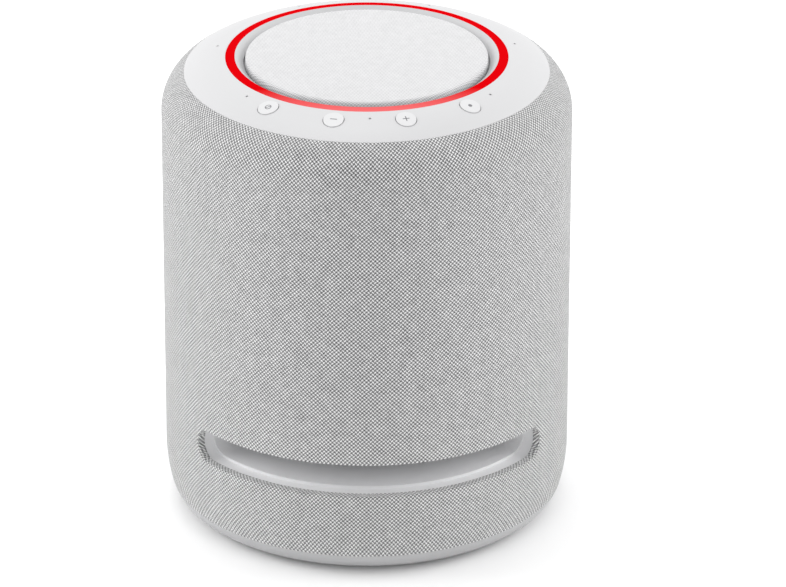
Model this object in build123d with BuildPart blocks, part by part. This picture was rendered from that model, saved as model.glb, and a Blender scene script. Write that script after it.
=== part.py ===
from build123d import *

import os
from math import asin, cos, degrees, radians, sin, sqrt

# A smart speaker: an upright drum in a fabric sleeve that stands on a rubber foot.
# A bass passage runs through its lower part from front to rear, and its crown carries a
# light ring, four buttons and seven microphone holes round a round fabric grille.
# The axis of the drum is Z, its foot stands on Z = 0 and its front faces -Y.
# An azimuth is measured round the axis from the front, positive towards +X.

os.makedirs("parts", exist_ok=True)

# Driving dimensions of the outside, in millimetres and degrees
height = 206.0
body_radius = 87.5
foot_arc_radius = 72.25
foot_arc_top = 27.9
foot_angle = 14.27
heel_radius = 12.07
shoulder_radius = 20.52
shoulder_bottom = 181.03
shoulder_angle = 58.48
crown_radius = 45.87

# Wall layers, as depths below the outer surface
fabric_thickness = 0.9
shell_depth = 3.3
cap_thickness = 2.2

# Bass passage
slot_bottom = 39.5
slot_top = 54.0
slot_end_azimuth = 56.7
passage_half_width = 58.0
passage_corner_y = 34.0
duct_bottom = 37.3
duct_floor = 39.9
duct_top = 54.2
duct_rim_top = 55.8

# Crown fittings
ring_inner = 56.14
ring_outer = 60.07
grille_radius = 51.56
grille_edge_top = 205.29
button_radius = 4.3
button_circle = 66.65
button_proud = 0.3
button_travel = 0.6
button_azimuths = {
    "mute_button": -39.1,
    "volume_down_button": -13.04,
    "volume_up_button": 13.04,
    "action_button": 39.1,
}
microphone_circle = 65.0
microphone_count = 7
microphone_hole = 0.6

# Inside
enclosure_radius = 80.0
enclosure_wall = 3.0
baffle_thickness = 3.8
frame_bottom = 178.0
frame_top = 181.0
pad_distance = 75.5
driver_z = 148.0
board_thickness = 1.6
top_board_top = 193.0

# Service panel at the rear
port_z = 24.0
panel_width = 62.0
panel_height = 19.0
panel_floor_y = 80.0
panel_floor_thickness = 2.5
inlet_x = -17.0
audio_x = 6.0
usb_x = 20.0

# Places that follow from the driving dimensions
foot_arc_centre = (body_radius - foot_arc_radius, foot_arc_top)
shoulder_centre = (body_radius - shoulder_radius, shoulder_bottom)
slot_half_height = (slot_top - slot_bottom) / 2
slot_mid = (slot_top + slot_bottom) / 2
slot_end_turn = slot_end_azimuth - 4.75
shell_inner = body_radius - shell_depth
baffle_top = duct_top + baffle_thickness


def polar_point(centre, radius, angle):
    """Point at a radius from a centre, the angle measured up from horizontal."""
    return (centre[0] + radius * cos(radians(angle)), centre[1] + radius * sin(radians(angle)))


base_seam = polar_point(foot_arc_centre, foot_arc_radius, -foot_angle)
heel_centre = polar_point(base_seam, heel_radius, 180 - foot_angle)
underside = heel_centre[1] - heel_radius
cap_seam = polar_point(shoulder_centre, shoulder_radius, shoulder_angle)
crown_centre = polar_point(cap_seam, crown_radius, 180 + shoulder_angle)


def crown_z(radius, depth=0.0):
    """Height of the crown at a radius from the axis, at a depth below its surface."""
    return crown_centre[1] + sqrt((crown_radius - depth) ** 2 - (radius - crown_centre[0]) ** 2)


def around(radius, azimuth, z):
    """Point at a radius and an azimuth."""
    return (radius * sin(radians(azimuth)), -radius * cos(radians(azimuth)), z)


def radial_plane(azimuth):
    """Plane through the axis whose local X points outwards at an azimuth and local Y up."""
    side = radians(azimuth)
    return Plane((0, 0, 0), x_dir=(sin(side), -cos(side), 0), z_dir=(-cos(side), -sin(side), 0))


def outward_plane(distance, azimuth, z):
    """Plane at a distance from the axis that faces outwards at an azimuth."""
    side = radians(azimuth)
    facing = (sin(side), -cos(side), 0)
    return Plane(around(distance, azimuth, z), x_dir=(cos(side), sin(side), 0), z_dir=facing)


def turned(outline, plane=Plane.XY):
    """Closed outline of (radius, height) points turned round the normal of a plane."""
    profile_plane = Plane(plane.origin, x_dir=plane.x_dir, z_dir=plane.y_dir * -1)
    with BuildPart() as solid:
        with BuildSketch(profile_plane):
            with BuildLine():
                Polyline(*outline, close=True)
            make_face()
        revolve(axis=Axis(plane.origin, plane.z_dir))
    return solid.part


def tube(inner, outer, bottom, top, plane=Plane.XY):
    """Ring of rectangular section round the normal of a plane."""
    return turned([(inner, bottom), (outer, bottom), (outer, top), (inner, top)], plane)


def domed_shell(radius, edge, apex, thickness, plane=Plane.XY):
    """Cap of a sphere, its outer face from an edge height to an apex height on the axis."""
    profile_plane = Plane(plane.origin, x_dir=plane.x_dir, z_dir=plane.y_dir * -1)
    rise = apex - edge
    side = 1 if rise > 0 else -1
    ball = (radius**2 + rise**2) / (2 * abs(rise))
    spread = degrees(asin(radius / ball))
    centre = (0, apex - side * ball)
    with BuildPart() as dome:
        with BuildSketch(profile_plane):
            with BuildLine():
                outer = CenterArc(centre, ball, side * 90, -side * spread)
                inner = CenterArc(centre, ball - thickness, side * 90, -side * spread)
                Line(outer @ 0, inner @ 0)
                Line(outer @ 1, inner @ 1)
            make_face()
        revolve(axis=Axis(plane.origin, plane.z_dir))
    return dome.part


def rolled_surround(inner, outer, lip, base, thickness, side, plane=Plane.XY):
    """Half-roll surround with a flat outer lip; side +1 rolls forwards and -1 backwards."""
    profile_plane = Plane(plane.origin, x_dir=plane.x_dir, z_dir=plane.y_dir * -1)
    middle = (inner + outer) / 2
    roll = (outer - inner) / 2
    top = base + side * thickness
    with BuildPart() as surround:
        with BuildSketch(profile_plane):
            with BuildLine():
                ThreePointArc((inner, base), (middle, base + side * roll), (outer, base))
                Line((outer, base), (lip, base))
                Line((lip, base), (lip, top))
                Line((lip, top), (outer + thickness, top))
                ThreePointArc(
                    (outer + thickness, top),
                    (middle, base + side * (roll + thickness)),
                    (inner - thickness, top),
                )
                Line((inner - thickness, top), (inner - thickness, base))
                Line((inner - thickness, base), (inner, base))
            make_face()
        revolve(axis=Axis(plane.origin, plane.z_dir))
    return surround.part


def skin_ring(outer, inner):
    """Wall of the drum from its base seam to its cap seam, between two depths."""
    with BuildPart() as ring:
        with BuildSketch(Plane.XZ):
            with BuildLine():
                low_outer = CenterArc(foot_arc_centre, foot_arc_radius - outer, -foot_angle, foot_angle)
                high_outer = CenterArc(shoulder_centre, shoulder_radius - outer, 0, shoulder_angle)
                low_inner = CenterArc(foot_arc_centre, foot_arc_radius - inner, -foot_angle, foot_angle)
                high_inner = CenterArc(shoulder_centre, shoulder_radius - inner, 0, shoulder_angle)
                Line(low_outer @ 1, high_outer @ 0)
                Line(high_outer @ 1, high_inner @ 1)
                Line(high_inner @ 0, low_inner @ 1)
                Line(low_inner @ 0, low_outer @ 0)
            make_face()
        revolve(axis=Axis.Z)
    return ring.part


def slot_tool(facing, growth):
    """Round-ended slot along the wall of the drum, its middle at an azimuth, grown all round."""
    half = slot_half_height + growth
    reach = 14.0
    start = shell_inner - 6.0
    with BuildPart() as tool:
        with BuildSketch(radial_plane(facing - slot_end_turn)):
            with Locations((start + reach / 2, slot_mid)):
                Rectangle(reach, 2 * half)
        revolve(axis=Axis.Z, revolution_arc=2 * slot_end_turn)
        for side in (-1, 1):
            with BuildSketch(outward_plane(start, facing + side * slot_end_turn, slot_mid)):
                Circle(half)
            extrude(amount=reach)
    return tool.part


def slot_lining(facing):
    """Band of fabric folded inwards round the edge of a slot."""
    with BuildPart() as lining:
        add(skin_ring(fabric_thickness, shell_depth))
        add(slot_tool(facing, fabric_thickness), mode=Mode.INTERSECT)
        add(slot_tool(facing, 0), mode=Mode.SUBTRACT)
    return lining.part


def port_prism(width, tall, corner, near, far, x=0.0):
    """Rounded rectangular bar along Y, centred on the height of the service panel."""
    with BuildPart() as prism:
        with BuildSketch(Plane.XZ.offset(-near)):
            with Locations((x, port_z)):
                RectangleRounded(width, tall, corner)
        extrude(amount=near - far)
    return prism.part


def save(piece, name):
    """Label a finished piece and write it as its own STEP file."""
    piece.part.label = name
    export_step(piece.part, f"parts/{name}.step")


# ---------------------------------------------------------------- base
foot_inner = 60.0
foot_outer = 72.0
foot_depth = 2.4
plate_top = 3.6
spigot_outer = 81.6
spigot_inner = 79.2
spigot_top = 14.0
screw_circle = 66.0
screw_radius = 1.5
screw_head_radius = 2.8
post_bottom = 9.0
insert_radius = 5.0
insert_bore = 2.6
insert_top = 9.0
power_board_bottom = 10.0
power_board_post = (44.0, 34.0)

# Rubber ring that the speaker stands on, set into a groove of the base plate.
with BuildPart() as foot_ring:
    with BuildSketch():
        Circle(foot_outer)
        Circle(foot_inner, mode=Mode.SUBTRACT)
    extrude(amount=foot_depth)
    fillet(foot_ring.edges().group_by(Axis.Z)[0], 0.5)
save(foot_ring, "foot_ring")

# Dished moulding that closes the drum below, with a spigot that enters the shell.
with BuildPart() as base_plate:
    with BuildSketch(Plane.XZ):
        with BuildLine():
            heel = CenterArc(heel_centre, heel_radius, -90, 90 - foot_angle)
            Polyline(
                heel @ 1,
                polar_point(base_seam, shell_depth, 180 - foot_angle),
                (spigot_outer, spigot_top),
                (spigot_inner, spigot_top),
                (spigot_inner, spigot_top - 3),
                (spigot_inner - 5, plate_top),
                (0, plate_top),
                (0, underside),
                heel @ 0,
            )
        make_face()
    revolve(axis=Axis.Z)
    with BuildSketch():
        Circle(foot_outer)
        Circle(foot_inner, mode=Mode.SUBTRACT)
    extrude(amount=foot_depth, mode=Mode.SUBTRACT)
    with BuildSketch(Plane.XY.offset(plate_top)):
        with PolarLocations(screw_circle, 4, start_angle=45):
            Circle(4.5)
    extrude(amount=post_bottom - plate_top)
    with BuildSketch(Plane.XY.offset(plate_top)):
        with GridLocations(2 * power_board_post[0], 2 * power_board_post[1], 2, 2):
            Circle(3.0)
    extrude(amount=power_board_bottom - plate_top)
    with BuildSketch(Plane.XY.offset(plate_top)):
        Circle(insert_radius + 2)
    extrude(amount=insert_top - plate_top)
    Cylinder(insert_radius, 2 * insert_top, mode=Mode.SUBTRACT)
    with BuildSketch(Plane.XY.offset(foot_depth)):
        with PolarLocations(screw_circle, 4, start_angle=45):
            Circle(screw_head_radius + 0.2)
    extrude(amount=2.6, mode=Mode.SUBTRACT)
    with BuildSketch(Plane.XY.offset(foot_depth)):
        with PolarLocations(screw_circle, 4, start_angle=45):
            Circle(screw_radius)
    extrude(amount=post_bottom - foot_depth, mode=Mode.SUBTRACT)
save(base_plate, "base_plate")

# Brass insert with a quarter-inch camera thread, for a stand or a wall bracket.
with BuildPart() as stand_insert:
    with BuildSketch(Plane.XY.offset(underside)):
        Circle(insert_radius)
        Circle(insert_bore, mode=Mode.SUBTRACT)
    extrude(amount=insert_top - underside)
    chamfer(stand_insert.edges().group_by(Axis.Z)[0].sort_by(SortBy.RADIUS)[0], 0.5)
save(stand_insert, "stand_insert")

# Four screws under the foot ring that pull the base plate to the duct.
with BuildPart() as base_screws:
    with BuildSketch(Plane.XY.offset(foot_depth + 0.4)):
        with PolarLocations(screw_circle, 4, start_angle=45):
            Circle(screw_head_radius)
    extrude(amount=2.2)
    with BuildSketch(Plane.XY.offset(foot_depth + 2.6)):
        with PolarLocations(screw_circle, 4, start_angle=45):
            Circle(screw_radius)
    extrude(amount=14)
    with PolarLocations(screw_circle, 4, start_angle=45):
        Box(3.4, 0.8, 2 * (foot_depth + 1.3), mode=Mode.SUBTRACT)
        Box(0.8, 3.4, 2 * (foot_depth + 1.3), mode=Mode.SUBTRACT)
save(base_screws, "base_screws")

# ---------------------------------------------------------------- power supply
power_board_top = power_board_bottom + board_thickness

# Mains power board on four posts of the base plate.
with BuildPart() as power_board:
    with BuildSketch(Plane.XY.offset(power_board_bottom)):
        RectangleRounded(100, 80, 3)
    extrude(amount=board_thickness)
save(power_board, "power_board")

# Wound transformer: a core in the shape of a frame with its winding through it.
with BuildPart() as power_transformer:
    with Locations((-18, 4, power_board_top)):
        Box(30, 26, 18, align=(Align.CENTER, Align.CENTER, Align.MIN))
        Box(20, 34, 14, align=(Align.CENTER, Align.CENTER, Align.MIN))
    fillet(power_transformer.edges().filter_by(Axis.Z), 1.5)
save(power_transformer, "power_transformer")

# Two smoothing capacitors standing on the board.
with BuildPart() as power_capacitors:
    with BuildSketch(Plane.XY.offset(power_board_top)):
        with Locations((22, 16), (22, -12)):
            Circle(9)
    extrude(amount=21)
    fillet(power_capacitors.edges().group_by(Axis.Z)[-1], 1.2)
save(power_capacitors, "power_capacitors")

# ---------------------------------------------------------------- service panel
panel_back_y = panel_floor_y - panel_floor_thickness
inlet_size = (21.0, 13.0)
inlet_face_y = panel_floor_y + 0.6
inlet_back_y = 62.0
inlet_cavity_y = 66.0
pin_radius = 1.2
pin_spacing = 8.6
bushing_radius = 3.2
audio_bore = 1.8
usb_size = (8.0, 3.2)

# Recessed panel in a window of the sleeve, holding the sockets.
with BuildPart() as port_panel:
    add(port_prism(panel_width, panel_height, 5, panel_back_y, body_radius + 1))
    add(skin_ring(0.3, 12), mode=Mode.INTERSECT)
    add(port_prism(panel_width - 3, panel_height - 3, 4, panel_floor_y, 90), mode=Mode.SUBTRACT)
    add(port_prism(*inlet_size, 2, panel_back_y - 1, 90, inlet_x), mode=Mode.SUBTRACT)
    add(port_prism(*usb_size, 1, panel_back_y - 1, 90, usb_x), mode=Mode.SUBTRACT)
    with BuildSketch(Plane.XZ.offset(-panel_back_y + 1)):
        with Locations((audio_x, port_z)):
            Circle(bushing_radius)
    extrude(amount=-8, mode=Mode.SUBTRACT)
save(port_panel, "port_panel")

# Two-pole mains inlet with a figure-of-eight well.
with BuildPart() as mains_inlet:
    add(port_prism(*inlet_size, 2, inlet_back_y, inlet_face_y, inlet_x))
    with BuildSketch(Plane.XZ.offset(-inlet_cavity_y)):
        with Locations((inlet_x - 4, port_z), (inlet_x + 4, port_z)):
            Circle(4.6)
        with Locations((inlet_x, port_z)):
            Rectangle(8, 7.6)
    extrude(amount=inlet_cavity_y - inlet_face_y, mode=Mode.SUBTRACT)
    with BuildSketch(Plane.XZ.offset(-inlet_back_y)):
        with Locations((inlet_x, port_z)):
            with GridLocations(pin_spacing, 1, 2, 1):
                Circle(pin_radius)
    extrude(amount=inlet_back_y - inlet_cavity_y, mode=Mode.SUBTRACT)
save(mains_inlet, "mains_inlet")

# Two round contact pins with rounded tips, their tails behind the inlet.
with BuildPart() as inlet_pins:
    with BuildSketch(Plane.XZ.offset(-58)):
        with Locations((inlet_x, port_z)):
            with GridLocations(pin_spacing, 1, 2, 1):
                Circle(pin_radius)
    extrude(amount=58 - 78.6)
    fillet(inlet_pins.edges().group_by(Axis.Y)[-1], 0.9)
save(inlet_pins, "inlet_pins")

# Audio socket: a block with a round bushing that passes through the panel.
with BuildPart() as audio_jack:
    with Locations((audio_x, 64, port_z)):
        Box(10, panel_back_y - 64, 9, align=(Align.CENTER, Align.MIN, Align.CENTER))
    with BuildSketch(Plane.XZ.offset(-panel_back_y)):
        with Locations((audio_x, port_z)):
            Circle(bushing_radius)
    extrude(amount=panel_back_y - panel_floor_y - 0.5)
    with BuildSketch(Plane.XZ.offset(-66.5)):
        with Locations((audio_x, port_z)):
            Circle(audio_bore)
    extrude(amount=66.5 - panel_floor_y - 0.5, mode=Mode.SUBTRACT)
save(audio_jack, "audio_jack")

# Small service port: a drawn metal shield with a tongue inside.
with BuildPart() as usb_port:
    add(port_prism(*usb_size, 1, 72, panel_floor_y + 0.2, usb_x))
    add(port_prism(usb_size[0] - 0.9, usb_size[1] - 0.9, 0.7, 73, 90, usb_x), mode=Mode.SUBTRACT)
    with Locations((usb_x, 73, port_z + 0.3)):
        Box(4.6, 5.5, 0.7, align=(Align.CENTER, Align.MIN, Align.CENTER))
save(usb_port, "usb_port")

# ---------------------------------------------------------------- bass passage
post_radius = 4.0
wall_flare = 18.0
bump_radius = 54.0
bump_height = 5.1
floor_fillet = 7.0

# Room inside the duct: straight in the middle, flared to both mouths, round below.
with BuildPart() as passage_room:
    with BuildSketch(Plane.XY.offset(duct_floor)) as passage_plan:
        with BuildLine():
            quarter = [
                (passage_half_width, 0),
                (passage_half_width, -passage_corner_y),
                (passage_half_width + wall_flare, -passage_corner_y - wall_flare),
                (passage_half_width + wall_flare, -body_radius - 10),
                (0, -body_radius - 10),
            ]
            Polyline(*quarter)
            mirror(about=Plane.YZ)
            mirror(about=Plane.XZ)
        make_face()
        fillet(
            passage_plan.vertices().filter_by_position(
                Axis.Y, -passage_corner_y - 0.1, passage_corner_y + 0.1
            ),
            14,
        )
    extrude(amount=duct_top - duct_floor + 1)
    fillet(passage_room.edges().group_by(Axis.Z)[0], floor_fillet)
    Cylinder(
        shell_inner, height, align=(Align.CENTER, Align.CENTER, Align.MIN), mode=Mode.INTERSECT
    )

# Low mound under the woofer that turns the sound towards both mouths.
bump_ball = (bump_radius**2 + bump_height**2) / (2 * bump_height)
with BuildPart() as passage_bump:
    with BuildSketch(Plane.XZ):
        with BuildLine():
            bump_centre = (0, duct_floor + bump_height - bump_ball)
            bump_spread = degrees(asin(bump_radius / bump_ball))
            mound = CenterArc(bump_centre, bump_ball, 90, -bump_spread)
            foot = duct_floor - 1
            Polyline(mound @ 1, (bump_radius, foot), (0, foot), mound @ 0)
        make_face()
    revolve(axis=Axis.Z)

# Duct moulding: floor and side cheeks of the passage, flush with the shells at both sides.
with BuildPart() as aperture_duct:
    with BuildSketch(Plane.XY.offset(duct_bottom)):
        Circle(body_radius - fabric_thickness)
    extrude(amount=duct_top - duct_bottom)
    add(passage_room.part, mode=Mode.SUBTRACT)
    for facing in (0, 180):
        add(slot_tool(facing, fabric_thickness), mode=Mode.SUBTRACT)
    add(passage_bump.part)
    with Locations((69, 0, duct_bottom), (-69, 0, duct_bottom)):
        Box(16, 54, 14.2, align=(Align.CENTER, Align.CENTER, Align.MIN), mode=Mode.SUBTRACT)
    with BuildSketch(Plane.XY.offset(post_bottom)):
        with PolarLocations(screw_circle, 4, start_angle=45):
            Circle(post_radius)
    extrude(amount=duct_bottom - post_bottom)
    with BuildSketch(Plane.XY.offset(post_bottom)):
        with PolarLocations(screw_circle, 4, start_angle=45):
            Circle(screw_radius)
    extrude(amount=foot_depth + 16.6 - post_bottom, mode=Mode.SUBTRACT)
save(aperture_duct, "aperture_duct")

# Thin collar on the duct that bridges both mouths and seats the upper shell.
with BuildPart() as duct_collar:
    with BuildSketch(Plane.XY.offset(duct_top)):
        Circle(body_radius - fabric_thickness)
        Circle(enclosure_radius + 0.3, mode=Mode.SUBTRACT)
    extrude(amount=duct_rim_top - duct_top)
    for facing in (0, 180):
        add(slot_tool(facing, fabric_thickness), mode=Mode.SUBTRACT)
save(duct_collar, "duct_collar")

# ---------------------------------------------------------------- shells and sleeve
window_rows = 5
window_columns = 28
window_size = (9.0, 18.0)
window_pitch = 23.0
first_window = 72.0

# Lower plastic shell, from the base seam up to the duct, with a window for the panel.
with BuildPart() as grille_shell_lower:
    add(skin_ring(fabric_thickness, shell_depth))
    split(bisect_by=Plane.XY.offset(duct_bottom), keep=Keep.BOTTOM)
    add(port_prism(panel_width + 0.2, panel_height + 0.2, 5, 70, 90), mode=Mode.SUBTRACT)
save(grille_shell_lower, "grille_shell_lower")

# Upper plastic shell, from the duct up to the cap seam, windowed for the sound.
with BuildPart() as grille_shell_upper:
    add(skin_ring(fabric_thickness, shell_depth))
    split(bisect_by=Plane.XY.offset(duct_rim_top), keep=Keep.TOP)
    for row in range(window_rows):
        with Locations(Plane.XY.offset(first_window + row * window_pitch)):
            with PolarLocations(body_radius, window_columns):
                Box(10, *window_size, mode=Mode.SUBTRACT)
save(grille_shell_upper, "grille_shell_upper")

# Woven sleeve over both shells, folded into the slots and cut out round the panel.
with BuildPart() as fabric_sleeve:
    add(skin_ring(0, fabric_thickness))
    for facing in (0, 180):
        add(slot_tool(facing, 0), mode=Mode.SUBTRACT)
        add(slot_lining(facing))
    add(port_prism(panel_width + 0.2, panel_height + 0.2, 5, 70, 90), mode=Mode.SUBTRACT)
save(fabric_sleeve, "fabric_sleeve")

# ---------------------------------------------------------------- enclosure
side_azimuths = {"left": -90, "right": 90}
mid_pad_radius = 27.5
mid_hole = 24.0
cup_radius = 28.4
cup_depth = 36.0
cup_wall = 2.0
pad_thickness = 3.5
tweeter_pad_radius = 22.0
tweeter_hole = 16.5
baffle_hole = 60.0
woofer_screw_circle = 68.1
woofer_screw_radius = 1.6
main_board_front = 50.0
main_board_post = (38.0, 20.0)

side_pads = [outward_plane(pad_distance, side, driver_z) for side in side_azimuths.values()]
tweeter_pad = outward_plane(pad_distance, 0, driver_z)
top_pad = Plane.XY.offset(frame_top)
below = (Align.CENTER, Align.CENTER, Align.MAX)
above = (Align.CENTER, Align.CENTER, Align.MIN)

def pod(pad, hole, pad_radius, collar_top, depth, cup):
    """Round seat for a driver: a recessed pad with a collar, and behind it a closed cup or none."""
    outer = pad_radius + cup_wall
    front = [(hole, 0), (pad_radius, 0), (pad_radius, collar_top), (outer, collar_top)]
    if cup:
        back = [
            (outer, -pad_thickness - 1.5),
            (cup_radius, -pad_thickness - 1.5),
            (cup_radius, -depth),
            (0, -depth),
            (0, cup_wall - depth),
            (cup_radius - cup_wall, cup_wall - depth),
            (cup_radius - cup_wall, -pad_thickness),
        ]
    else:
        back = [(outer, -depth)]
    last = -depth if not cup else -pad_thickness
    return turned(front + back + [(hole, last)], pad)


# Sealed tub over the passage: a baffle, a round wall and a pod with a cup for each side driver.
with BuildPart() as main_enclosure:
    with BuildSketch(Plane.XY.offset(duct_top)):
        Circle(enclosure_radius)
        Circle(baffle_hole, mode=Mode.SUBTRACT)
    extrude(amount=baffle_thickness)
    with BuildSketch(Plane.XY.offset(baffle_top)):
        Circle(enclosure_radius)
        Circle(enclosure_radius - enclosure_wall, mode=Mode.SUBTRACT)
    extrude(amount=frame_bottom - baffle_top)
    with Locations(*[pad.offset(-12) for pad in side_pads]):
        Cylinder(mid_pad_radius + cup_wall / 2, 30, align=above, mode=Mode.SUBTRACT)
    with Locations(tweeter_pad.offset(-12)):
        Cylinder(tweeter_pad_radius + cup_wall / 2, 30, align=above, mode=Mode.SUBTRACT)
    for pad in side_pads:
        add(pod(pad, mid_hole, mid_pad_radius, 2.5, cup_depth, True))
    add(pod(tweeter_pad, tweeter_hole, tweeter_pad_radius, 2.8, pad_thickness + 1, False))
    for x in (-main_board_post[0], main_board_post[0]):
        for z in (driver_z - main_board_post[1], driver_z + main_board_post[1]):
            with Locations(Plane((x, main_board_front + board_thickness, z), z_dir=(0, 1, 0))):
                Cylinder(3, 16, align=above)
    with BuildSketch(Plane.XY.offset(duct_top + 0.6)):
        with PolarLocations(woofer_screw_circle, 6):
            Circle(woofer_screw_radius)
    extrude(amount=baffle_thickness, mode=Mode.SUBTRACT)
save(main_enclosure, "main_enclosure")

# ---------------------------------------------------------------- woofer, facing down
flange_top = baffle_top + 2.2
basket_top = 91.0
plate_bottom = 93.0
magnet_bottom = 98.0
magnet_top = 113.0
yoke_top = 118.0
coil_inner = 16.6
coil_outer = 17.4
gap_inner = 15.8
gap_outer = 18.2
spider_z = 86.0
cone_edge = 50.0
cone_neck_z = 84.0

# Stamped basket: a flange on the baffle and six legs up to the motor.
with BuildPart() as woofer_basket:
    add(
        turned(
            [
                (59, baffle_top),
                (71, baffle_top),
                (71, flange_top),
                (65, flange_top),
                (47, basket_top),
                (47, plate_bottom),
                (36, plate_bottom),
                (36, basket_top),
                (45, basket_top),
                (48, spider_z),
                (41, spider_z),
                (41, spider_z - 1),
                (48.6, spider_z - 1),
                (63, flange_top),
                (59, flange_top),
            ]
        )
    )
    for leg in range(6):
        with BuildSketch(radial_plane(30 + 60 * leg).offset(-12)):
            with Locations((57, 73)):
                RectangleRounded(22, 17, 4)
        extrude(amount=24, mode=Mode.SUBTRACT)
    with BuildSketch(Plane.XY.offset(baffle_top)):
        with PolarLocations(woofer_screw_circle, 6):
            Circle(woofer_screw_radius)
    extrude(amount=flange_top - baffle_top, mode=Mode.SUBTRACT)
save(woofer_basket, "woofer_basket")

# Six screws that hold the basket flange to the baffle.
with BuildPart() as woofer_screws:
    with BuildSketch(Plane.XY.offset(flange_top)):
        with PolarLocations(woofer_screw_circle, 6):
            Circle(2.8)
    extrude(amount=1.9)
    fillet(woofer_screws.edges().group_by(Axis.Z)[-1], 0.8)
    with BuildSketch(Plane.XY.offset(duct_top + 0.6)):
        with PolarLocations(woofer_screw_circle, 6):
            Circle(woofer_screw_radius)
    extrude(amount=flange_top - duct_top - 0.6)
save(woofer_screws, "woofer_screws")

# Steel front plate of the motor, with the outer wall of the coil gap.
with BuildPart() as woofer_top_plate:
    add(tube(gap_outer, 44, plate_bottom, magnet_bottom))
save(woofer_top_plate, "woofer_top_plate")

# Ferrite ring magnet.
with BuildPart() as woofer_magnet:
    add(tube(22, 45, magnet_bottom, magnet_top))
    fillet(woofer_magnet.edges().filter_by(GeomType.CIRCLE).sort_by(SortBy.RADIUS)[-3:-1], 1)
save(woofer_magnet, "woofer_magnet")

# T-yoke: a back plate with the pole that the coil runs over.
with BuildPart() as woofer_pole_piece:
    add(
        turned(
            [
                (0, plate_bottom - 1),
                (gap_inner, plate_bottom - 1),
                (gap_inner, magnet_top),
                (42, magnet_top),
                (42, yoke_top - 1.5),
                (40.5, yoke_top),
                (0, yoke_top),
            ]
        )
    )
save(woofer_pole_piece, "woofer_pole_piece")

# Corrugated spider that centres the coil.
spider_rings = 5
spider_step = (46.6 - coil_outer) / (2 * spider_rings)
with BuildPart() as woofer_spider:
    with BuildSketch(Plane.XZ):
        with BuildLine():
            waves = [(coil_outer, spider_z + 0.9)]
            for step in range(1, 2 * spider_rings):
                waves.append((coil_outer + step * spider_step, spider_z + 0.9 + 0.5 * (-1) ** step))
            waves.append((coil_outer + 2 * spider_rings * spider_step, spider_z + 0.6))
            Spline(*waves)
            Line(waves[-1], (waves[-1][0], waves[-1][1] + 0.5))
            Spline(*[(x, z + 0.5) for x, z in reversed(waves)])
            Line((waves[0][0], waves[0][1] + 0.5), waves[0])
        make_face()
    revolve(axis=Axis.Z)
save(woofer_spider, "woofer_spider")

# Rubber half-roll surround, rolled towards the passage.
with BuildPart() as woofer_surround:
    add(rolled_surround(cone_edge + 0.7, 57.4, 58.9, baffle_top + 0.4, 0.7, -1))
    add(tube(58.1, 62.0, flange_top, flange_top + 0.7))
    add(tube(58.1, 58.9, baffle_top - 0.3, flange_top + 0.7))
save(woofer_surround, "woofer_surround")

# Paper cone, its wide edge on the surround and its neck on the coil.
with BuildPart() as woofer_cone:
    add(
        turned(
            [
                (cone_edge, baffle_top - 0.3),
                (cone_edge, baffle_top + 0.6),
                (cone_edge - 2, baffle_top + 1.6),
                (coil_outer, cone_neck_z),
                (coil_outer, cone_neck_z - 1.2),
                (cone_edge - 2, baffle_top + 0.5),
                (cone_edge - 0.8, baffle_top - 0.3),
            ]
        )
    )
save(woofer_cone, "woofer_cone")

# Voice coil on its former.
with BuildPart() as woofer_voice_coil:
    add(tube(coil_inner, coil_outer, cone_neck_z - 2, magnet_bottom + 5))
save(woofer_voice_coil, "woofer_voice_coil")

# Domed dust cap over the neck of the cone.
with BuildPart() as woofer_dust_cap:
    add(domed_shell(19, 80.4, 75.4, 0.6))
save(woofer_dust_cap, "woofer_dust_cap")

# ---------------------------------------------------------------- midrange drivers
# Three alike: left, right and upwards, each on its own pad.
mid_pads = dict(zip(side_azimuths, side_pads))
mid_pads["top"] = top_pad
for place, pad in mid_pads.items():
    with BuildPart() as mid_basket:
        add(
            turned(
                [
                    (21.6, 2),
                    (26, 2),
                    (26, 0),
                    (23.4, 0),
                    (18, -11.5),
                    (18, -14),
                    (8.5, -14),
                    (8.5, -12.5),
                    (16.2, -12.5),
                    (16.2, -11),
                    (21.6, 0.5),
                ],
                pad,
            )
        )
    save(mid_basket, f"{place}_mid_basket")

    with BuildPart() as mid_surround:
        add(rolled_surround(17.2, 21.2, 23.4, 2, 0.4, 1, pad))
    save(mid_surround, f"{place}_mid_surround")

    with BuildPart() as mid_cone:
        add(
            turned(
                [
                    (0, 0.2),
                    (4, -0.6),
                    (6.4, -3.6),
                    (16.8, 1.6),
                    (16.8, 2.2),
                    (16.2, 2.2),
                    (6.4, -2.8),
                    (4.2, 0.1),
                    (0, 0.9),
                ],
                pad,
            )
        )
        add(tube(5.9, 6.4, -20, -2.9, pad))
    save(mid_cone, f"{place}_mid_cone")

    with BuildPart() as mid_magnet:
        add(
            turned(
                [
                    (0, -28),
                    (18, -28),
                    (18, -14),
                    (7, -14),
                    (7, -23),
                    (5.2, -23),
                    (5.2, -13),
                    (0, -13),
                ],
                pad,
            )
        )
    save(mid_magnet, f"{place}_mid_magnet")

# ---------------------------------------------------------------- tweeter, facing forwards
# Face plate with a short flare round the dome.
with BuildPart() as tweeter_faceplate:
    add(turned([(14.2, 0), (20, 0), (20, 2), (18.5, 2.6), (16, 2.6), (14.2, 1.2)], tweeter_pad))
save(tweeter_faceplate, "tweeter_faceplate")

# Motor behind the dome, with a groove for the coil.
with BuildPart() as tweeter_magnet:
    add(
        turned(
            [
                (0, -16),
                (16, -16),
                (16, 0),
                (13.3, 0),
                (13.3, -7),
                (11.7, -7),
                (11.7, 0),
                (0, 0),
            ],
            tweeter_pad,
        )
    )
save(tweeter_magnet, "tweeter_magnet")

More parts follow.
